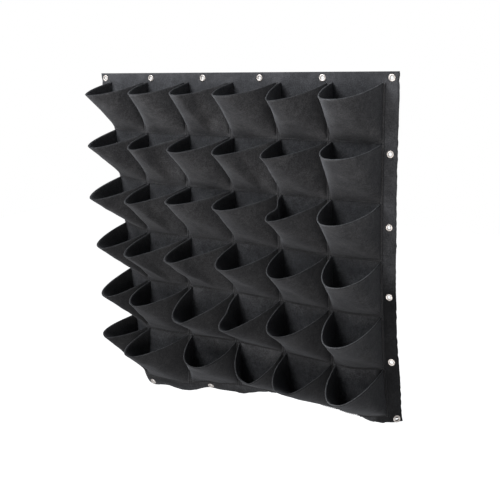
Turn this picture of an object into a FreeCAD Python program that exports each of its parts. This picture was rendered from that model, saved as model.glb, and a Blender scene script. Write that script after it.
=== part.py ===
import FreeCAD, Part
import math
import os

# A square sheet of felt that hangs on a wall, with rows of open felt pockets sewn to its front.
# Millimetres. The wall is the plane Y = 0, the front faces -Y and +Z is up. The origin is on the wall,
# midway between the two top corner eyelets.

# Back sheet
sheet_width = 1000.0
sheet_height = 1000.0
sheet_thickness = 3.0

# Pocket grid: the bare felt left round it, and how many pockets share the rest
side_margin = 32.0
top_margin = 28.0
bottom_margin = 28.0
columns = 6
rows = 6
panel_gap = 0.6

# Pocket panels: the felt sewn flat at the sides and foot, how the mouth gapes, and how far the front
# swells out half-way down
panel_thickness = 3.0
side_allowance = 6.0
foot_allowance = 8.0
top_row_reach = 165.0
reach_gain_per_row = 4.0
rim_dip = 30.0
belly = 12.0

# Sewing thread, a flattened run along the middle of each allowance
thread_width = 0.9
thread_height = 0.5
thread_start = 4.0

# Eyelets, evenly spaced along every edge, a corner eyelet being shared by two edges
eyelets_per_edge = 6
eyelet_inset = 16.0
bore_radius = 5.0
barrel_wall = 0.5
flange_radius = 10.0
flange_crown = 1.4
flange_lip = 0.4
roll_radius = 7.2
roll_thickness = 0.5

# Washers, bedded in the back of the felt with the rolled end of the barrel over them
washer_radius = 10.0
washer_thickness = 0.6
barrel_clearance = 0.2
bed_clearance = 0.3

# Overrun of cutting solids past the faces that they cut
overrun = 2.0

# Worked-out places
pocket_width = (sheet_width - 2 * side_margin) / columns
pocket_height = (sheet_height - top_margin - bottom_margin) / rows
panel_width = pocket_width - panel_gap
panel_height = pocket_height - panel_gap
mouth_half_width = panel_width / 2 - side_allowance
foot_line = foot_allowance - panel_height
top_edge = eyelet_inset
bottom_edge = top_edge - sheet_height
eyelet_half_span = sheet_width / 2 - eyelet_inset
eyelet_drop = sheet_height - 2 * eyelet_inset
barrel_radius = bore_radius + barrel_wall
bed_depth = washer_thickness + roll_thickness


def point(x, y, z):
    return FreeCAD.Vector(x, y, z)


def block(x_low, x_high, y_low, y_high, z_low, z_high):
    return Part.makeBox(x_high - x_low, y_high - y_low, z_high - z_low, point(x_low, y_low, z_low))


def line(a, b):
    return Part.LineSegment(a, b).toShape()


def outline_face(corners):
    return Part.Face(Part.makePolygon(corners + corners[:1]))


def save(node, solids):
    shape = solids[0] if len(solids) == 1 else Part.makeCompound(solids)
    shape.exportStep("parts/" + node + ".step")


# Eyelet centres, as (x, z) on the sheet, listed by the edge that they belong to

def evenly(start, end):
    steps = eyelets_per_edge - 1
    return [start + (end - start) * i / steps for i in range(eyelets_per_edge)]


def eyelet_places():
    across = evenly(-eyelet_half_span, eyelet_half_span)
    between_corners = evenly(0, -eyelet_drop)[1:-1]
    return {
        "top": [(x, 0) for x in across],
        "bottom": [(x, -eyelet_drop) for x in across],
        "left": [(-eyelet_half_span, z) for z in between_corners],
        "right": [(eyelet_half_span, z) for z in between_corners],
    }


def copies_at(shape, places):
    return [shape.translated(point(x, 0, z)) for x, z in places]


# Back sheet with its eyelet holes and, behind each, the bed of the washer

def back_sheet(places):
    half = sheet_width / 2
    sheet = block(-half, half, -sheet_thickness, 0, bottom_edge, top_edge)
    start = point(0, overrun, 0)
    forward = point(0, -1, 0)
    hole = Part.makeCylinder(barrel_radius + barrel_clearance, sheet_thickness + 2 * overrun, start, forward)
    bed = Part.makeCylinder(washer_radius + bed_clearance, bed_depth + overrun, start, forward)
    return sheet.cut(copies_at(hole, places) + copies_at(bed, places))


# One pressed eyelet: domed front flange, barrel through the felt, end rolled out over the washer

def revolved(edges):
    face = Part.Face(Part.Wire(edges))
    return face.revolve(point(0, 0, 0), point(0, 1, 0), 360)


def eyelet():
    front = -sheet_thickness
    rim = point(flange_radius, front, 0)
    crown = point((flange_radius + bore_radius) / 2, front - flange_crown, 0)
    lip = point(bore_radius, front - flange_lip, 0)
    corners = [
        lip,
        point(bore_radius, 0, 0),
        point(roll_radius, 0, 0),
        point(roll_radius, -roll_thickness, 0),
        point(barrel_radius, -roll_thickness, 0),
        point(barrel_radius, front, 0),
        rim,
    ]
    edges = [line(a, b) for a, b in zip(corners, corners[1:])]
    edges.append(Part.Arc(rim, crown, lip).toShape())
    return revolved(edges)


def washer():
    inner_radius = barrel_radius + barrel_clearance
    corners = [
        point(inner_radius, -roll_thickness, 0),
        point(washer_radius, -roll_thickness, 0),
        point(washer_radius, -bed_depth, 0),
        point(inner_radius, -bed_depth, 0),
    ]
    return revolved([line(a, b) for a, b in zip(corners, corners[1:] + corners[:1])])


# Pocket panel, drawn with its mouth line at z = 0 and its back on y = 0. Cut level, the pocket is an arch of
# three arcs. The arch grows shallower down to the foot line, slowly at first and faster below the belly.

def arch(half_width, depth, back, z):
    def at(turn):
        angle = turn * math.pi
        return point(-half_width * math.cos(angle), -depth * math.sin(angle), z)

    left, left_flank, left_nose = at(0), at(1 / 8), at(1 / 4)
    nose = at(1 / 2)
    right_nose, right_flank, right = at(3 / 4), at(7 / 8), at(1)
    edges = [
        Part.Arc(left, left_flank, left_nose).toShape(),
        Part.Arc(left_nose, nose, right_nose).toShape(),
        Part.Arc(right_nose, right_flank, right).toShape(),
    ]
    if back > 0:
        right_back = point(half_width, back, z)
        left_back = point(-half_width, back, z)
        edges += [line(right, right_back), line(right_back, left_back), line(left_back, left)]
    else:
        edges.append(line(right, left))
    return Part.Wire(edges)


def arched_solid(half_width, levels, back):
    return Part.makeLoft([arch(half_width, depth, back, z) for z, depth in levels], True, True)


def pocket_panel(reach):
    belly_line = (foot_line - rim_dip) / 2
    belly_depth = reach / 2 + belly
    half_drop = belly_line - foot_line
    low_lean = belly_depth / half_drop
    high_lean = (reach - belly_depth) / half_drop
    low_angle = math.atan(low_lean)
    high_angle = math.atan(high_lean)
    low_wall = panel_thickness / math.cos(low_angle)
    high_wall = panel_thickness / math.cos(high_angle)
    bend_wall = panel_thickness / math.cos((low_angle - high_angle) / 2)
    bend_angle = (low_angle + high_angle) / 2
    start_depth = panel_thickness / 2

    def high_depth(z):
        return belly_depth + (z - belly_line) * high_lean

    outer_start = foot_line + start_depth / low_lean
    outer_top = overrun
    outer_levels = [(outer_start, start_depth), (belly_line, belly_depth), (outer_top, high_depth(outer_top))]
    inner_top = 2 * overrun
    inner_levels = [
        (outer_start + low_wall / low_lean, start_depth),
        (belly_line + bend_wall * math.sin(bend_angle), belly_depth - bend_wall * math.cos(bend_angle)),
        (inner_top, high_depth(inner_top) - high_wall),
    ]
    outside = arched_solid(mouth_half_width, outer_levels, 0)
    inside = arched_solid(mouth_half_width - panel_thickness, inner_levels, overrun)
    sewn_flat = block(-panel_width / 2, panel_width / 2, -panel_thickness, 0, -panel_height, 0)
    return outside.fuse(sewn_flat).cut(inside).cut(above_rim(reach))


# The rim lies in one plane that falls from the mouth line to the front of the pocket

def above_rim(reach):
    fall = rim_dip / reach
    behind = overrun
    beyond = -2 * reach
    height = 2 * reach
    corners = [
        point(-panel_width, behind, behind * fall),
        point(-panel_width, beyond, beyond * fall),
        point(-panel_width, beyond, height),
        point(-panel_width, behind, height),
    ]
    return outline_face(corners).extrude(point(2 * panel_width, 0, 0))


# Thread run down one side of a panel, along its foot and up the other side

def stitching():
    outer = panel_width / 2 - (side_allowance - thread_width) / 2
    inner = outer - thread_width
    foot = -panel_height + (foot_allowance - thread_width) / 2
    above_foot = foot + thread_width
    corners = [
        (-outer, -thread_start),
        (-outer, foot),
        (outer, foot),
        (outer, -thread_start),
        (inner, -thread_start),
        (inner, above_foot),
        (-inner, above_foot),
        (-inner, -thread_start),
    ]
    face = outline_face([point(x, -panel_thickness, z) for x, z in corners])
    return face.extrude(point(0, -thread_height, 0))


# Places of the pockets, counted from the top left

def pocket_place(row, column):
    x = side_margin + (column + 1 / 2) * pocket_width - sheet_width / 2
    z = top_edge - top_margin - row * pocket_height
    return point(x, -sheet_thickness, z)


def build_sheet_and_eyelets():
    places = eyelet_places()
    every_place = [place for centres in places.values() for place in centres]
    save("back_sheet", [back_sheet(every_place)])
    for edge, centres in places.items():
        save("eyelets_" + edge, copies_at(eyelet(), centres))
        save("washers_" + edge, copies_at(washer(), centres))


def build_pocket_row(row):
    panel = pocket_panel(top_row_reach + row * reach_gain_per_row)
    places = [pocket_place(row, column) for column in range(columns)]
    for column, place in enumerate(places):
        save(f"pocket_row{row + 1}_col{column + 1}", [panel.translated(place)])
    save(f"stitching_row{row + 1}", [stitching().translated(place) for place in places])


os.makedirs("parts", exist_ok=True)
build_sheet_and_eyelets()
for row in range(rows):
    build_pocket_row(row)
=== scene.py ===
import math

import bmesh
import bpy
from mathutils import Euler, Matrix, Quaternion, Vector, noise


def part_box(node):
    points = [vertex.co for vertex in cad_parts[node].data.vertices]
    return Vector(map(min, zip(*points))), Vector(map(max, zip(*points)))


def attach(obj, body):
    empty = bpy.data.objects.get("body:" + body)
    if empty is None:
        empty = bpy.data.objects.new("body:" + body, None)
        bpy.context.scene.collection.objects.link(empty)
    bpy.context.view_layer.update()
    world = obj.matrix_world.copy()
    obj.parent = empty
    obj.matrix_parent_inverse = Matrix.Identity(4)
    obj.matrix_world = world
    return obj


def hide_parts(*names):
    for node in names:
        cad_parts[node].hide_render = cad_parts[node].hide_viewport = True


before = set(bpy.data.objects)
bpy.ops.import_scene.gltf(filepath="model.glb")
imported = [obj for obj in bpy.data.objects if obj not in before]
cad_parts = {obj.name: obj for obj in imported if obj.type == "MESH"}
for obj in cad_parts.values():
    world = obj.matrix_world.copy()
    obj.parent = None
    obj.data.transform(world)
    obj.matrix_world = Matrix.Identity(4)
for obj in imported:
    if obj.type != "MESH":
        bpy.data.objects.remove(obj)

scene = bpy.context.scene
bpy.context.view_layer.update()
feltLow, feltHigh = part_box("back_sheet")

# Common sizes of the hanging, in metres. The sheet's own come from the frame
hanging = {
    "width": round(feltHigh.x - feltLow.x, 5), "height": round(feltHigh.z - feltLow.z, 5),
    "top": round(feltHigh.z, 5), "felt": round(feltHigh.y - feltLow.y, 5),
    "sideMargin": 0.032, "topMargin": 0.028, "bottomMargin": 0.028, "rows": 6, "columns": 6,
}
pocketWidth = (hanging["width"] - 2 * hanging["sideMargin"]) / hanging["columns"]
pocketHeight = (hanging["height"] - hanging["topMargin"] - hanging["bottomMargin"]) / hanging["rows"]


def ramp(span, value):
    start, end = span
    return min(max((value - start) / (end - start), 0.0), 1.0)


def smooth(span, value):
    t = ramp(span, value)
    return t * t * (3 - 2 * t)


# How the felt hangs from its two top corners. Across and down are measured on the flat sheet from its top
# left corner, and a pair says where an effect starts and where it is full
hang = {
    "drawTop": 0.008, "drawFoot": 0.083, "drawnColumn": (0.032, 0.188),  # the first column is drawn in
    "leftLift": 0.027, "leftLiftDown": (0.0, 0.62),
    "swing": 0.0445, "swingAcross": (0.2, 0.9),  # the foot swings to the right
    "standOff": 0.006, "standOffDown": (0.02, 0.16), "standOffEnds": (0.10, 0.45),
    "bulge": 0.050, "bulgeStarts": (0.02, 0.20), "bulgeEnds": (0.25, 0.50),  # forward, left of the middle
    "rightOut": 0.020, "rightOutAcross": (0.55, 0.95),
    "slack": 0.0015, "slackScale": (3.1, 2.3), "slackPick": 4.0,
    "rightLift": 0.052, "rightSide": (0.85, 1.0), "cornerLift": 0.008, "cornerDown": (0.97, 1.0),
    "midLift": 0.024, "midLiftDown": (0.80, 1.0), "midLiftAcross": (0.30, 0.65),
    "hemDown": (0.93, 1.0), "hemRipple": 0.004, "rippleScale": 11, "ripplePick": (0, 7),
    "hemWave": 0.011, "waveScale": 17, "wavePick": (1.5, 2),
}

# The left margin and the right half of the bottom margin are turned back behind the sheet, the left half of
# the bottom margin is tilted under, and the right margin curls back towards the foot
folds = {
    "bend": 0.002, "leftCrease": 0.0395, "leftDown": (0.04, 0.16),
    "footCrease": 0.036, "footStarts": (0.50, 0.62), "footEnds": (0.87, 0.95),
    "under": 0.70, "underAcross": (0.50, 0.44), "curl": 0.85, "curlDown": (0.7, 1.0), "curlRun": 0.016,
    "least": 0.001,
}


def sway(u, v):
    drawn = 1 - ramp(hang["drawnColumn"], u)
    hem = smooth(hang["hemDown"], v)
    right = smooth(hang["rightSide"], u)
    dx = (hang["drawTop"] + hang["drawFoot"] * v) * drawn
    dx += hang["swing"] * v ** 3 * smooth(hang["swingAcross"], u)
    forward = hang["standOff"] * smooth(hang["standOffDown"], v) * (1 - smooth(hang["standOffEnds"], u))
    forward += hang["bulge"] * v * v * smooth(hang["bulgeStarts"], u) * (1 - smooth(hang["bulgeEnds"], u))
    slackX, slackZ = hang["slackScale"]
    forward += hang["slack"] * v * (1 + noise.noise(Vector((slackX * u, slackZ * v, hang["slackPick"]))))
    forward += hang["rightOut"] * v * v * smooth(hang["rightOutAcross"], u)
    forward += hang["hemRipple"] * hem * noise.noise(Vector((hang["rippleScale"] * u, *hang["ripplePick"])))
    dz = hang["rightLift"] * right * v ** 4 + hang["cornerLift"] * right * smooth(hang["cornerDown"], v)
    dz += hang["midLift"] * (1 - right) * smooth(hang["midLiftDown"], v) * smooth(hang["midLiftAcross"], u)
    dz += hang["leftLift"] * ramp(hang["leftLiftDown"], v) * drawn
    dz += hang["hemWave"] * hem * noise.noise(Vector((hang["waveScale"] * u, *hang["wavePick"])))
    return dx, forward, dz


# Felt past a crease, turned right back: its angle, and how far it gets along the sheet and behind it
def turned(past):
    bend = folds["bend"]
    angle = min(past / bend, math.pi)
    rest = max(past - math.pi * bend, 0.0)
    return angle, bend * math.sin(angle) - rest, bend * (1 - math.cos(angle))


# The same for felt that bends back by less than that
def curled(past, most):
    run = folds["curlRun"]
    angle = most * min(past / run, 1.0)
    radius = run / most
    rest = max(past - run, 0.0)
    along = radius * math.sin(angle) + rest * math.cos(most)
    behind = radius * (1 - math.cos(angle)) + rest * math.sin(most)
    return angle, along, behind


# Where a point of the flat hanging comes to lie. Pocket fronts stand clear of the margins, so they don't fold
def hung(x, y, z, fold=True):
    u = x + hanging["width"] / 2
    v = max(hanging["top"] - z, 0.0)
    out, angle, behind, aside, down = -y, 0.0, 0.0, 0.0, 0.0
    leftCrease = folds["leftCrease"] * ramp(folds["leftDown"], v)
    footCrease = 1 - folds["footCrease"] * ramp(folds["footStarts"], u) * (1 - ramp(folds["footEnds"], u))
    underCrease = 1 - hanging["bottomMargin"]
    rightCrease = 1 - hanging["sideMargin"]
    if fold and u < leftCrease:
        angle, along, behind = turned(leftCrease - u)
        u, aside = leftCrease - along, -out * math.sin(angle)
    elif fold and footCrease < 1 and v > footCrease:
        angle, along, behind = turned(v - footCrease)
        v, down = footCrease + along, -out * math.sin(angle)
    elif fold and u < folds["underAcross"][0] and v > underCrease:
        most = folds["under"] * ramp(folds["underAcross"], u) + folds["least"]
        angle, along, behind = curled(v - underCrease, most)
        v, down = underCrease + along, -out * math.sin(angle)
    elif fold and u > rightCrease and v > folds["curlDown"][0]:
        most = folds["curl"] * smooth(folds["curlDown"], v) + folds["least"]
        angle, along, behind = curled(u - rightCrease, most)
        u, aside = rightCrease + along, out * math.sin(angle)
    dx, forward, dz = sway(u, v)
    y = behind - out * math.cos(angle) - forward
    return Vector((u - hanging["width"] / 2 + dx + aside, y, hanging["top"] - v + dz + down))


# Turned and placed as the hung sheet is at one spot
def hungFrame(x, z, step=0.004):
    across = (hung(x + step, 0, z) - hung(x - step, 0, z)).normalized()
    up = (hung(x, 0, z + step) - hung(x, 0, z - step)).normalized()
    out = across.cross(up).normalized()
    turn = Matrix((across, -out, out.cross(across))).transposed().to_4x4()
    return Matrix.Translation(hung(x, 0, z)) @ turn


def meshObject(name, bm, materials):
    bmesh.ops.recalc_face_normals(bm, faces=bm.faces[:])
    for face in bm.faces:
        face.smooth = True
    mesh = bpy.data.meshes.new(name)
    bm.to_mesh(mesh)
    bm.free()
    obj = bpy.data.objects.new(name, mesh)
    scene.collection.objects.link(obj)
    for material in materials:
        mesh.materials.append(material)
    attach(obj, "root")
    return obj


# Both faces of the felt stand off the modelled surface, and the cut edge has its own material
def thicken(obj):
    solid = obj.modifiers.new("felt", "SOLIDIFY")
    solid.thickness = hanging["felt"]
    solid.offset = 0
    solid.material_offset_rim = 1


# Materials
def newMaterial(name):
    material = bpy.data.materials.new(name)
    material.use_nodes = True
    nodes = material.node_tree.nodes
    return material, nodes, material.node_tree.links, nodes["Principled BSDF"]


def addNode(nodes, kind, **values):
    node = nodes.new(kind)
    for key, value in values.items():
        if hasattr(node, key):
            setattr(node, key, value)
        else:
            node.inputs[key].default_value = value
    return node


def ranged(nodes, links, source, span, result):
    node = addNode(nodes, "ShaderNodeMapRange", interpolation_type="SMOOTHSTEP")
    for slot, value in enumerate((*span, *result), start=1):
        node.inputs[slot].default_value = value
    links.new(source, node.inputs[0])
    return node.outputs[0]


def combined(nodes, links, operation, first, *others):
    result = first
    for other in others:
        node = addNode(nodes, "ShaderNodeMath", operation=operation)
        links.new(result, node.inputs[0])
        links.new(other, node.inputs[1])
        result = node.outputs[0]
    return result


def blended(nodes, links, factor, first, second):
    node = addNode(nodes, "ShaderNodeMix", data_type="RGBA")
    node.inputs[6].default_value = (*first, 1)
    node.inputs[7].default_value = (*second, 1)
    links.new(factor, node.inputs[0])
    return node.outputs[2]


# Needled felt: cloudy patches, mottling and fibres. Painted shade darkens it from the head to the foot of the
# hanging and along its lower right edge, it is darker at the hem, and a painted highlight pales it where the
# rim attribute marks the lip
feltCommon = {
    "paintedFalloff": (-0.95, 0.0), "sideShadeDown": (-0.60, -0.42), "hemDarkSpan": (-0.965, -0.935),
    "details": {"clouds": 3.0, "mottle": 4.0, "fibres": 6.0}, "grain": 0.65,
    "cloudEdges": (0.34, 0.66), "contrast": (0.30, 0.70),
    "dentShare": 0.5, "dentDepth": 0.0025, "fuzzDepth": 0.0012,
    "roughness": 0.95, "specular": 0.05, "sheenRoughness": 0.55, "sheenTint": (0.75, 0.78, 0.85),
}


def feltMaterial(name, look):
    material, nodes, links, shader = newMaterial(name)
    coords = addNode(nodes, "ShaderNodeTexCoord").outputs["Object"]
    place = addNode(nodes, "ShaderNodeSeparateXYZ")
    links.new(coords, place.inputs[0])
    textures = {}
    for key, detail in feltCommon["details"].items():
        texture = addNode(nodes, "ShaderNodeTexNoise", Scale=look[key], Detail=detail,
                          Roughness=feltCommon["grain"])
        links.new(coords, texture.inputs["Vector"])
        textures[key] = texture.outputs["Fac"]

    def varied(source, amount):
        return ranged(nodes, links, source, feltCommon["contrast"], (1 - amount, 1 + amount))

    cloudy = ranged(nodes, links, textures["clouds"], feltCommon["cloudEdges"], (0.0, 1.0))
    colour = blended(nodes, links, cloudy, look["dark"], look["light"])
    # painted shade: the colour darkens from the head of the hanging down to its foot, far more on the pockets
    # than on the sheet
    paintedFalloff = ranged(nodes, links, place.outputs["Z"], feltCommon["paintedFalloff"], (look["foot"], look["head"]))
    # darker along the hem
    hem = ranged(nodes, links, place.outputs["Z"], feltCommon["hemDarkSpan"], (1 - look["hemDarkening"], 1.0))
    # painted highlight: the felt is paler near the pocket rims, as far as the rim attribute says
    rim = addNode(nodes, "ShaderNodeAttribute", attribute_name="rim").outputs["Fac"]
    lip = ranged(nodes, links, rim, (0.0, 1.0), (1.0, 1 + look["lip"]))
    # painted shade: darker towards the lower right edge of the sheet and of the last column of pockets
    beside = ranged(nodes, links, place.outputs["X"], look["sideShadeFrom"], (0.0, look["sideShade"]))
    below = ranged(nodes, links, place.outputs["Z"], feltCommon["sideShadeDown"], (1.0, 0.0))
    sideShadeMask = combined(nodes, links, "MULTIPLY", beside, below)
    sideShading = ranged(nodes, links, sideShadeMask, (0.0, 1.0), (1.0, 0.0))
    patches = varied(textures["mottle"], look["patchy"])
    flecks = varied(textures["fibres"], look["fleck"])
    tone = addNode(nodes, "ShaderNodeVectorMath", operation="SCALE")
    links.new(colour, tone.inputs[0])
    shade = combined(nodes, links, "MULTIPLY", paintedFalloff, patches, flecks, sideShading, hem, lip)
    links.new(shade, tone.inputs["Scale"])
    links.new(tone.outputs[0], shader.inputs["Base Color"])
    dents = addNode(nodes, "ShaderNodeBump", Strength=look["bump"] * feltCommon["dentShare"],
                    Distance=feltCommon["dentDepth"])
    links.new(textures["mottle"], dents.inputs["Height"])
    fuzz = addNode(nodes, "ShaderNodeBump", Strength=look["bump"], Distance=feltCommon["fuzzDepth"])
    links.new(textures["fibres"], fuzz.inputs["Height"])
    links.new(dents.outputs[0], fuzz.inputs["Normal"])
    links.new(fuzz.outputs[0], shader.inputs["Normal"])
    shader.inputs["Roughness"].default_value = feltCommon["roughness"]
    shader.inputs["Specular IOR Level"].default_value = feltCommon["specular"]
    shader.inputs["Sheen Weight"].default_value = look["sheen"]
    shader.inputs["Sheen Roughness"].default_value = feltCommon["sheenRoughness"]
    shader.inputs["Sheen Tint"].default_value = (*feltCommon["sheenTint"], 1)
    return material


# Polyester thread with a slanting twist
def threadMaterial(name, look):
    material, nodes, links, shader = newMaterial(name)
    coords = addNode(nodes, "ShaderNodeTexCoord").outputs["Object"]
    twist = addNode(nodes, "ShaderNodeTexWave", bands_direction="DIAGONAL", Scale=look["twist"],
                    Distortion=look["uneven"])
    links.new(coords, twist.inputs["Vector"])
    ply = twist.outputs["Fac"]
    links.new(blended(nodes, links, ply, look["dark"], look["light"]), shader.inputs["Base Color"])
    ridges = addNode(nodes, "ShaderNodeBump", Strength=look["bump"], Distance=look["ridge"])
    links.new(ply, ridges.inputs["Height"])
    links.new(ridges.outputs[0], shader.inputs["Normal"])
    shader.inputs["Roughness"].default_value = look["roughness"]
    return material


# Nickel plate, dulled in patches and scuffed
def nickelMaterial(name, look):
    material, nodes, links, shader = newMaterial(name)
    coords = addNode(nodes, "ShaderNodeTexCoord").outputs["Object"]
    tarnish = addNode(nodes, "ShaderNodeTexNoise", Scale=look["patches"], Detail=look["patchDetail"])
    scuffs = addNode(nodes, "ShaderNodeTexNoise", Scale=look["scuffs"], Detail=look["scuffDetail"])
    for texture in (tarnish, scuffs):
        links.new(coords, texture.inputs["Vector"])
    dull = ranged(nodes, links, tarnish.outputs["Fac"], look["patchEdges"], (0.0, 1.0))
    links.new(blended(nodes, links, dull, look["bright"], look["dull"]), shader.inputs["Base Color"])
    rough = ranged(nodes, links, scuffs.outputs["Fac"], (0.0, 1.0), look["roughness"])
    links.new(rough, shader.inputs["Roughness"])
    shader.inputs["Metallic"].default_value = 1.0
    return material


sheetFelt = feltMaterial("sheetFelt", {
    "dark": (0.040, 0.041, 0.044), "light": (0.055, 0.056, 0.060), "clouds": 11.0, "mottle": 70.0,
    "fibres": 330.0, "patchy": 0.16, "fleck": 0.40, "bump": 0.7, "sheen": 0.12, "head": 1.02, "foot": 0.94,
    "sideShade": 0.68, "sideShadeFrom": (0.452, 0.478), "hemDarkening": 0.55, "lip": 0.0})
pocketFelt = feltMaterial("pocketFelt", {
    "dark": (0.036, 0.036, 0.038), "light": (0.050, 0.050, 0.052), "clouds": 13.0, "mottle": 80.0,
    "fibres": 330.0, "patchy": 0.16, "fleck": 0.40, "bump": 0.7, "sheen": 0.12, "head": 1.22, "foot": 0.46,
    "sideShade": 0.45, "sideShadeFrom": (0.476, 0.492), "hemDarkening": 0.0, "lip": 0.35})
cutFelt = feltMaterial("cutFelt", {
    "dark": (0.024, 0.025, 0.026), "light": (0.035, 0.036, 0.038), "clouds": 40.0, "mottle": 160.0,
    "fibres": 600.0, "patchy": 0.20, "fleck": 0.45, "bump": 0.9, "sheen": 0.12, "head": 1.0, "foot": 0.90,
    "sideShade": 0.0, "sideShadeFrom": (0.476, 0.492), "hemDarkening": 0.3, "lip": 1.30})
threadBlack = threadMaterial("threadBlack", {
    "dark": (0.020, 0.020, 0.022), "light": (0.042, 0.042, 0.046), "twist": 900.0, "uneven": 0.6,
    "bump": 0.5, "ridge": 0.0001, "roughness": 0.55})
nickel = nickelMaterial("nickel", {
    "bright": (0.42, 0.40, 0.385), "dull": (0.29, 0.265, 0.25), "patches": 260.0, "patchDetail": 3.0,
    "patchEdges": (0.35, 0.65), "scuffs": 900.0, "scuffDetail": 5.0, "roughness": (0.30, 0.50)})
print("materials made")

# Eyelets, six to an edge, a corner one being shared by two edges. The rolled end is given by how far each of
# its points lies out from the bore and behind the wall face
eyelets = {
    "inset": 0.016, "perEdge": 6, "bore": 0.005, "flange": 0.010, "around": 32,
    "crown": 0.0014, "domeSteps": 8, "domeFull": 0.8, "domeFall": 0.0001,
    "seat": 0.0002, "flangeEdge": 0.0006,
    "rolledEnd": ((0.0, -0.0002), (0.0006, 0.0004), (0.0018, 0.0004), (0.0022, 0.0),
                  (0.0012, -0.0002), (0.0005, -0.0006)),
    "wall": 0.0005, "tilt": 0.03, "tiltSteps": (5.1, 2.4, 3.3),
}
eyeletStep = (hanging["width"] - 2 * eyelets["inset"]) / (eyelets["perEdge"] - 1)


def eyeletCentres():
    count = eyelets["perEdge"]
    side = hanging["width"] / 2 - eyelets["inset"]
    foot = -(count - 1) * eyeletStep
    across = [-side + eyeletStep * i for i in range(count)]
    down = [-eyeletStep * i for i in range(1, count - 1)]
    return {
        "top": [(x, 0) for x in across],
        "bottom": [(x, foot) for x in across],
        "left": [(-side, z) for z in down],
        "right": [(side, z) for z in down],
    }


# Back sheet: made flat, with finer squares round the eyelets and finer lines at the creases, then punched
# and hung. Each waver has its strength, its scale and which part of the noise it takes
sheet = {
    "fine": 10, "coarse": 20, "hole": 0.0056, "collar": 0.0102, "apron": 0.0128,
    "ragged": 0.0022, "raggedFrom": 0.05, "raggedLeast": 0.3, "wavers": ((0.9, 70, 3), (0.6, 17, 9)),
    "spread": 0.0035, "spreadFrom": 0.15,
    "leftLines": (0.0335, 0.0350, 0.0365, 0.0380, 0.0395), "footLines": (0.9625, 0.9640, 0.9655, 0.9667),
}


def gridLines(extra):
    fine, coarse, square = sheet["fine"], sheet["coarse"], 2 * eyelets["inset"]
    free = eyeletStep - square
    lines = [*extra, hanging["width"]]
    for i in range(eyelets["perEdge"]):
        start = i * eyeletStep
        lines += [start + square * j / fine for j in range(fine)]
        if i < eyelets["perEdge"] - 1:
            lines += [start + square + free * j / coarse for j in range(coarse)]
    return sorted(lines)


# Cut edges waver, and the right one has spread a little
def raggedEdge(x, z):
    low, least = hanging["top"] - hanging["height"], sheet["raggedLeast"]
    rough = sum(strength * noise.noise(Vector((scale * x, scale * z, pick)))
                for strength, scale, pick in sheet["wavers"])
    shift = Vector((0, 0, 0))
    if math.isclose(abs(x), hanging["width"] / 2):
        share = least + (1 - least) * smooth((low, low + sheet["raggedFrom"]), z)
        shift.x = sheet["ragged"] * rough * share
        if x > 0:
            shift.x += sheet["spread"] * smooth((low, low + sheet["spreadFrom"]), z)
    if math.isclose(z, low):
        shift.z = sheet["ragged"] * rough
    return shift


# The square round an eyelet is inset three times, each border is drawn to a circle, and the middle is removed
def punchHole(bm, x, z):
    centre = Vector((x, 0, z))
    reach = eyelets["inset"]
    square = []
    for face in bm.faces:
        away = face.calc_center_median() - centre
        if max(abs(away.x), abs(away.z)) < reach:
            square.append(face)
    inside = set(square)
    for radius in (sheet["apron"], sheet["collar"], sheet["hole"]):
        bmesh.ops.inset_region(bm, faces=square, use_boundary=True, thickness=0)
        border = {vert for face in square for edge in face.edges
                  if sum(near in inside for near in edge.link_faces) == 1 for vert in edge.verts}
        for vert in border:
            vert.co = centre + (vert.co - centre).normalized() * radius
    bmesh.ops.delete(bm, geom=square, context="FACES")


def makeSheet():
    across, down = gridLines(sheet["leftLines"]), gridLines(sheet["footLines"])
    columns, lines = len(across) - 1, len(down) - 1
    bm = bmesh.new()
    bmesh.ops.create_grid(bm, x_segments=columns, y_segments=lines, size=0.5)
    for vert in bm.verts:
        x = across[round((vert.co.x + 0.5) * columns)] - hanging["width"] / 2
        z = hanging["top"] - down[round((0.5 - vert.co.y) * lines)]
        vert.co = Vector((x, 0, z)) + raggedEdge(x, z)
    for centres in eyeletCentres().values():
        for x, z in centres:
            punchHole(bm, x, z)
    for vert in bm.verts:
        vert.co = hung(vert.co.x, -hanging["felt"] / 2, vert.co.z)
    obj = meshObject("backSheet", bm, [sheetFelt, cutFelt])
    thicken(obj)
    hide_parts("back_sheet")


makeSheet()
print("back sheet made")


# One eyelet's outline from its axis: the domed flange, the bore, and the end rolled out over the washer
def eyeletProfile():
    front, bore, flange = -hanging["felt"], eyelets["bore"], eyelets["flange"]
    under = front + eyelets["seat"]
    outline = []
    for i in range(eyelets["domeSteps"] + 1):
        a = math.pi * i / eyelets["domeSteps"]
        r = (flange + bore) / 2 + (flange - bore) / 2 * math.cos(a)
        rise = eyelets["crown"] * math.sin(a) ** eyelets["domeFull"]
        outline.append((r, front - rise - eyelets["domeFall"] * (1 - math.cos(a))))
    outline.append((bore, front / 2))
    outline += [(bore + beyond, behind) for beyond, behind in eyelets["rolledEnd"]]
    return outline + [(bore + eyelets["wall"], under), (flange - eyelets["flangeEdge"], under)]


washerProfile = [(0.0057, 0.0), (0.0100, 0.0), (0.0098, 0.0003), (0.0060, 0.0003)]  # radius, then depth


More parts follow.
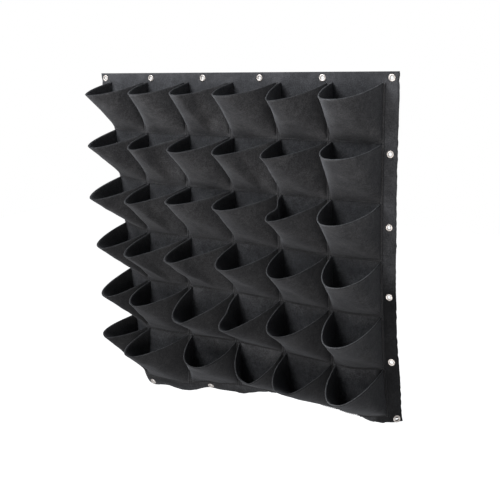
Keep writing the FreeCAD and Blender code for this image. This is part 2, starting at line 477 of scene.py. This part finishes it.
# A ring spun from its outline at each centre, every one turned and tilted a little differently
def seatedRings(name, node, profile, centres):
    bm = bmesh.new()
    for index, (x, z) in enumerate(centres):
        before = set(bm.verts)
        verts = [bm.verts.new((r, y, 0)) for r, y in profile]
        edges = [bm.edges.new(pair) for pair in zip(verts, verts[1:] + verts[:1])]
        bmesh.ops.spin(bm, geom=verts + edges, axis=(0, 1, 0), cent=(0, 0, 0), angle=2 * math.pi,
                       steps=eyelets["around"], use_merge=True)
        lean, (nod, turn, roll) = eyelets["tilt"], eyelets["tiltSteps"]
        tilt = Euler((lean * math.sin(nod * index), turn * index, lean * math.cos(roll * index)))
        ring = [vert for vert in bm.verts if vert not in before]
        bmesh.ops.transform(bm, verts=ring, matrix=hungFrame(x, z) @ tilt.to_matrix().to_4x4())
    obj = meshObject(name, bm, [nickel])
    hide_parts(node)


for edge, centres in eyeletCentres().items():
    seatedRings("eyelets" + edge.title(), "eyelets_" + edge, eyeletProfile(), centres)
    seatedRings("washers" + edge.title(), "washers_" + edge, washerProfile, centres)
print("eyelets made")

# Pockets: the common front, then what differs from it, by row and column. Reach is how far the rim stands
# out, dip how far it falls to the front, lean its sideways shift, and left and right how full its flanks are
pocket = {
    "half": 0.0705, "foot": 0.1500, "around": 56, "down": 26, "gather": 0.6,
    "wing": 0.0072, "wingSteps": (0.0, 0.45, 1.0), "hem": 0.0062, "hemSteps": (0.0, 0.5, 1.0),
    "press": (0.0, 0.0004, 0.0),
    "rimHighlight": 0.1, "rimHighlightRight": 1.0, "rimHighlightSteps": (1.0, 0.5),
    "reach": 0.166, "reachGain": 0.003, "dip": 0.030, "lean": -0.005, "left": 2.1, "right": 1.7,
    "swell": 0.02, "softFoot": 0.16, "softDepth": 0.4, "footFull": 3.2, "footSpread": 1.5, "blunt": 0.06,
}

# Crumples of the fronts: how deep, the scale of the noise, and how far up tucks and pushed lips are full
crumple = {
    "depth": 0.0036, "atFoot": 0.12, "mean": 0.6, "swing": 1.9, "scale": (11, 9, 8), "seedStep": 3.7,
    "roughness": 1.0, "finer": 2.1, "octaves": 3, "aside": 1.2, "asideScale": (9, 5, 2.1),
    "tuckUp": (0, 0.5), "lipUp": (0, 0.6),
}
mouths = {
    (1, 1): {"dip": 0.035, "right": 2.0},
    (1, 2): {"reach": 0.158, "lean": 0.010},
    (1, 3): {"reach": 0.161, "lean": 0.005, "right": 1.2},
    (1, 4): {"right": 1.9},
    (1, 5): {"dip": 0.040, "lean": -0.010, "left": 1.5, "right": 1.9},
    (1, 6): {"dip": 0.035, "lean": 0.0, "right": 2.1},
    (2, 1): {"dip": 0.035},
    (2, 2): {"reach": 0.164, "lean": 0.005, "right": 1.2},
    (2, 4): {"lean": -0.013, "right": 1.35},
    (2, 5): {"reach": 0.177, "lean": -0.025, "left": 1.5},
    (2, 6): {"dip": 0.022, "lean": 0.007, "right": 2.1},
    (3, 1): {"reach": 0.184, "dip": 0.035, "lean": -0.008},
    (3, 2): {"right": 1.45},
    (3, 3): {"dip": 0.020, "lean": -0.014},
    (3, 4): {"dip": 0.022, "lean": -0.012},
    (3, 5): {"reach": 0.179, "dip": 0.035, "lean": -0.016, "left": 1.3},
    (3, 6): {"lean": 0.0, "right": 2.1},
    (4, 1): {"dip": 0.028, "lean": 0.003, "left": 2.3},
    (4, 2): {"reach": 0.179, "right": 1.35},
    (4, 3): {"reach": 0.184, "lean": -0.017, "right": 1.35},
    (4, 4): {"reach": 0.180},
    (4, 5): {"lean": 0.003},
    (4, 6): {"lean": 0.015, "right": 2.0},
    (5, 1): {"reach": 0.170, "dip": 0.026, "lean": 0.002, "left": 2.5},
    (5, 2): {"reach": 0.170, "dip": 0.021, "lean": 0.008},
    (5, 3): {"reach": 0.185, "dip": 0.048, "lean": 0.007, "right": 1.35},
    (5, 4): {"reach": 0.188, "dip": 0.045, "left": 1.7, "right": 1.4},
    (5, 5): {"reach": 0.183, "lean": 0.0},
    (5, 6): {"lean": 0.011, "right": 2.0},
    (6, 1): {"reach": 0.168, "dip": 0.009, "lean": -0.032, "left": 2.6},
    (6, 2): {"reach": 0.156, "lean": -0.024},
    (6, 3): {"reach": 0.162, "lean": 0.035},
    (6, 4): {"reach": 0.143, "dip": 0.057, "lean": 0.035, "right": 1.35},
    (6, 5): {"reach": 0.187, "lean": 0.011},
    (6, 6): {"lean": 0.014},
}

# Fronts that fall in to the right of a soft fold, and left lips that are pushed aside: where along the rim,
# over what part of it, how far in and how far aside
tucks = {
    (1, 3): (0.55, 0.03, 0.036, 0.0),
    (2, 2): (0.57, 0.03, 0.038, 0.0),
    (2, 4): (0.59, 0.03, 0.034, 0.0),
    (3, 2): (0.59, 0.035, 0.028, 0.0),
    (3, 5): (0.20, 0.115, 0.0, 0.0195),
    (4, 2): (0.55, 0.035, 0.028, 0.0),
    (4, 3): (0.57, 0.035, 0.030, 0.0),
    (5, 4): (0.20, 0.10, 0.0, 0.012),
}
noTuck = (0.5, 1.0, 0.0, 0.0)


def pocketShape(row, column):
    place = (row + 1, column + 1)
    shape = dict(pocket, reach=pocket["reach"] + pocket["reachGain"] * row)
    shape.update(mouths.get(place, {}), tuck=tucks.get(place, noTuck), seed=row * hanging["columns"] + column)
    if column + 1 == hanging["columns"]:
        shape["rimHighlight"] = pocket["rimHighlightRight"]
    return shape


def pocketCentre(row, column):
    x = -hanging["width"] / 2 + hanging["sideMargin"] + (column + 0.5) * pocketWidth
    z = hanging["top"] - hanging["topMargin"] - row * pocketHeight
    return x, z


# The smooth front: turn goes round the rim from left to right and height from the foot to the rim, each from
# 0 to 1
def frontPoint(turn, height, shape):
    c, s = math.cos(math.pi * turn), math.sin(math.pi * turn)
    full = shape["left"] if c > 0 else shape["right"]
    full += (shape["footFull"] - full) * (1 - height) ** shape["footSpread"]
    blunt, soft = shape["blunt"], shape["softFoot"]
    flank = (math.hypot(c, blunt) - blunt) / (math.hypot(1, blunt) - blunt)
    size = (flank ** full + s ** full) ** (-1 / full) if s > 0 else 1.0
    depth = s * size
    out = height * (1 + shape["swell"] * (1 - height))
    out -= shape["softDepth"] * soft * height * (1 - smooth((0, 2 * soft), height))
    x = -shape["half"] * c * size + shape["lean"] * depth * height
    z = -shape["foot"] * (1 - height) - shape["dip"] * depth * height
    return Vector((x, -shape["reach"] * depth * out, z))


def crumpled(p, turn, height, shape):
    where, width, inward, aside = shape["tuck"]
    depth, atFoot, seed = crumple["depth"], crumple["atFoot"], shape["seed"]
    (scaleX, scaleY, scaleZ), (byHeight, byTurn, bySeed) = crumple["scale"], crumple["asideScale"]
    loose = math.sin(math.pi * turn)
    spot = Vector((scaleX * p.x, scaleY * p.y, scaleZ * p.z + crumple["seedStep"] * seed))
    wobble = noise.fractal(spot, crumple["roughness"], crumple["finer"], crumple["octaves"])
    swollen = math.sin(math.pi * (atFoot + (1 - atFoot) * height)) * loose
    p.y -= depth * swollen * (crumple["mean"] + crumple["swing"] * wobble)
    sideways = noise.noise(Vector((byHeight * p.z, byTurn * turn, bySeed * seed)))
    p.x += crumple["aside"] * depth * loose * sideways
    p.y += inward * smooth((where - width, where + width), turn) * loose * smooth(crumple["tuckUp"], height)
    p.x += aside * math.exp(-((turn - where) / width) ** 2) * smooth(crumple["lipUp"], height)
    return p


# A point of the panel by its column and line: the front, then two columns more on each sewn side and two
# lines more on the sewn foot
def panelPoint(column, line, shape):
    around, down = pocket["around"], pocket["down"]
    beside, below = max(-column, column - around, 0), max(line - down, 0)
    along = min(max(column, 0), around) / around
    turn = along - pocket["gather"] * math.sin(2 * math.pi * along) / (2 * math.pi)
    height = 1 - min(line, down) / down
    p = crumpled(frontPoint(turn, height, shape), turn, height, shape)
    if beside or below:
        p.x += math.copysign(pocket["wing"] * pocket["wingSteps"][beside], column)
        p.y = pocket["press"][below or beside]
        p.z -= pocket["hem"] * pocket["hemSteps"][below]
    return p, beside or below


def makePocket(row, column):
    shape = pocketShape(row, column)
    sewnColumns, sewnLines = len(pocket["wingSteps"]) - 1, len(pocket["hemSteps"]) - 1
    columns, lines = pocket["around"] + 2 * sewnColumns, pocket["down"] + sewnLines
    bm = bmesh.new()
    bmesh.ops.create_grid(bm, x_segments=columns, y_segments=lines, size=0.5)
    rimHighlight = bm.verts.layers.float.new("rim")
    grid = {}
    for vert in bm.verts:
        i, j = round((vert.co.x + 0.5) * columns), round((0.5 - vert.co.y) * lines)
        vert.co, sewn = panelPoint(i - sewnColumns, j, shape)
        # the rim attribute: share of the painted rim highlight, strongest in the last column, over the top
        # lines
        vert[rimHighlight] = shape["rimHighlight"] * pocket["rimHighlightSteps"][j] if j < len(pocket["rimHighlightSteps"]) else 0.0
        grid[i, j] = vert, sewn
    area = sum(face.calc_area() for face in bm.faces)
    cx, cz = pocketCentre(row, column)
    onSheet = -1.5 * hanging["felt"]  # the middle of the panel's felt, which lies on the sheet
    for vert, sewn in grid.values():
        vert.co = hung(cx + vert.co.x, onSheet + vert.co.y, cz + vert.co.z, bool(sewn))
    obj = meshObject(f"pocketRow{row + 1}Col{column + 1}", bm, [pocketFelt, cutFelt])
    thicken(obj)
    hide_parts(f"pocket_row{row + 1}_col{column + 1}")


for row in range(hanging["rows"]):
    for column in range(hanging["columns"]):
        makePocket(row, column)
print("pockets made")

# Stitches down both sides and along the foot of every pocket, each a slim bead bedded in the felt
stitch = {
    "pitch": 0.0056, "half": 0.0022, "radius": 0.00045, "bed": 0.0002, "around": 5, "along": 4,
    "line": 0.0740, "low": 0.1525, "start": 0.004,
}


def stitchMarks():
    line, low, pitch = stitch["line"], stitch["low"], stitch["pitch"]
    marks = []
    for i in range(int((low - stitch["start"]) / pitch)):
        z = -stitch["start"] - pitch * (i + 0.5)
        marks += [(-line, z, 0.0), (line, z, 0.0)]
    count = int(2 * line / pitch)
    marks += [(-line + 2 * line * (i + 0.5) / count, -low, math.pi / 2) for i in range(count)]
    return marks


# The run of one pocket, lying flat
def stitchRun():
    bm = bmesh.new()
    around, along = stitch["around"], stitch["along"]
    slim = Matrix.Diagonal((stitch["radius"], stitch["radius"], stitch["half"], 1))
    for x, z, turn in stitchMarks():
        bead = Matrix.Translation((x, 0, z)) @ Matrix.Rotation(turn, 4, "Y") @ slim
        bmesh.ops.create_uvsphere(bm, u_segments=around, v_segments=along, radius=1, matrix=bead)
    mesh = bpy.data.meshes.new("stitchRun")
    bm.to_mesh(mesh)
    bm.free()
    return mesh


def makeStitching(row, run):
    bm = bmesh.new()
    onPanel = -2 * hanging["felt"] + stitch["bed"]  # just into the front of the panel
    for column in range(hanging["columns"]):
        cx, cz = pocketCentre(row, column)
        done = len(bm.verts)
        bm.from_mesh(run)
        bm.verts.ensure_lookup_table()
        for vert in bm.verts[done:]:
            vert.co = hung(cx + vert.co.x, onPanel + vert.co.y, cz + vert.co.z)
    obj = meshObject(f"stitchingRow{row + 1}", bm, [threadBlack])
    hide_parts(f"stitching_row{row + 1}")


pocketRun = stitchRun()
for row in range(hanging["rows"]):
    makeStitching(row, pocketRun)
bpy.data.meshes.remove(pocketRun)
print("stitching made")

# Pale floor and plain surroundings, white where they are seen directly, in gloss or through something clear
studio = {
    "floor": -2.3, "size": 8.0, "paleFloor": 0.8, "floorLift": 0.82, "floorRoughness": 0.9,
    "glow": 0.23, "tint": (0.93, 0.96, 1.0),
}


def seenDirectly(nodes, links):
    path = addNode(nodes, "ShaderNodeLightPath").outputs
    kinds = [path[kind] for kind in ("Is Camera Ray", "Is Glossy Ray", "Is Transmission Ray")]
    return combined(nodes, links, "MAXIMUM", *kinds)


def makeFloor():
    bm = bmesh.new()
    bmesh.ops.create_grid(bm, x_segments=1, y_segments=1, size=studio["size"])
    bmesh.ops.translate(bm, verts=bm.verts[:], vec=(0, 0, studio["floor"]))
    mesh = bpy.data.meshes.new("floor")
    bm.to_mesh(mesh)
    bm.free()
    floor = bpy.data.objects.new("floor", mesh)
    scene.collection.objects.link(floor)
    material, nodes, links, shader = newMaterial("paleFloor")
    shader.inputs["Base Color"].default_value = (*[studio["paleFloor"]] * 3, 1)
    shader.inputs["Roughness"].default_value = studio["floorRoughness"]
    white = addNode(nodes, "ShaderNodeEmission")
    strength = ranged(nodes, links, seenDirectly(nodes, links), (0.0, 1.0), (0.0, studio["floorLift"]))
    links.new(strength, white.inputs["Strength"])
    both = addNode(nodes, "ShaderNodeAddShader")
    links.new(shader.outputs[0], both.inputs[0])
    links.new(white.outputs[0], both.inputs[1])
    links.new(both.outputs[0], nodes["Material Output"].inputs["Surface"])
    mesh.materials.append(material)


def makeWorld():
    world = bpy.data.worlds.new("studio")
    scene.world = world
    world.use_nodes = True
    nodes, links = world.node_tree.nodes, world.node_tree.links
    glow = nodes["Background"]
    glow.inputs["Color"].default_value = (*studio["tint"], 1)
    glow.inputs["Strength"].default_value = studio["glow"]
    white = addNode(nodes, "ShaderNodeBackground", Color=(1, 1, 1, 1), Strength=1.0)
    mix = addNode(nodes, "ShaderNodeMixShader")
    links.new(seenDirectly(nodes, links), mix.inputs[0])
    links.new(glow.outputs[0], mix.inputs[1])
    links.new(white.outputs[0], mix.inputs[2])
    links.new(mix.outputs[0], nodes["World Output"].inputs["Surface"])


# Soft lights: a weak one from the left, the main one from above left, and a broad fill from low in front
softLights = {
    "keyLight": {"place": (-1.30, -1.10, -0.40), "target": (-0.2, -0.1, -0.35), "size": (0.6, 0.6),
                 "power": 7, "colour": (1.0, 0.99, 0.97)},
    "topLight": {"place": (-0.70, -1.4, 1.00), "target": (0, 0, -0.4), "size": (1.3, 0.9),
                 "power": 50, "colour": (0.97, 0.98, 1.0)},
    "lowFill": {"place": (0.45, -3.2, -1.0), "target": (0, -0.05, -0.45), "size": (2.0, 1.2),
                "power": 64, "colour": (1.0, 0.965, 0.94)},
}


def areaLight(name, light):
    data = bpy.data.lights.new(name, "AREA")
    data.shape = "RECTANGLE"
    data.size, data.size_y = light["size"]
    data.energy = light["power"]
    data.color = light["colour"]
    lamp = bpy.data.objects.new(name, data)
    lamp.location = light["place"]
    aim = Vector(light["target"]) - Vector(light["place"])
    lamp.rotation_euler = aim.to_track_quat("-Z", "Y").to_euler()
    lamp.visible_camera = False
    scene.collection.objects.link(lamp)


makeFloor()
makeWorld()
for name, light in softLights.items():
    areaLight(name, light)
print("floor, surroundings and lights made")

# Camera
view = {
    "place": (1.1388, -1.7643, 0.0431), "azimuth": 31.51, "elevation": 11.56, "roll": -0.87,
    "lens": 51.95, "sensor": 36, "shift": -0.08,
}


def makeCamera():
    data = bpy.data.cameras.new("camera")
    data.sensor_width = view["sensor"]
    data.lens = view["lens"]
    data.shift_y = view["shift"]
    camera = bpy.data.objects.new("camera", data)
    camera.location = view["place"]
    camera.rotation_mode = "QUATERNION"
    aim = Euler((math.radians(90 - view["elevation"]), 0, math.radians(view["azimuth"]))).to_quaternion()
    camera.rotation_quaternion = aim @ Quaternion((0, 0, 1), math.radians(view["roll"]))
    scene.collection.objects.link(camera)
    scene.camera = camera


makeCamera()
scene.view_settings.view_transform = "Standard"
print("camera made")
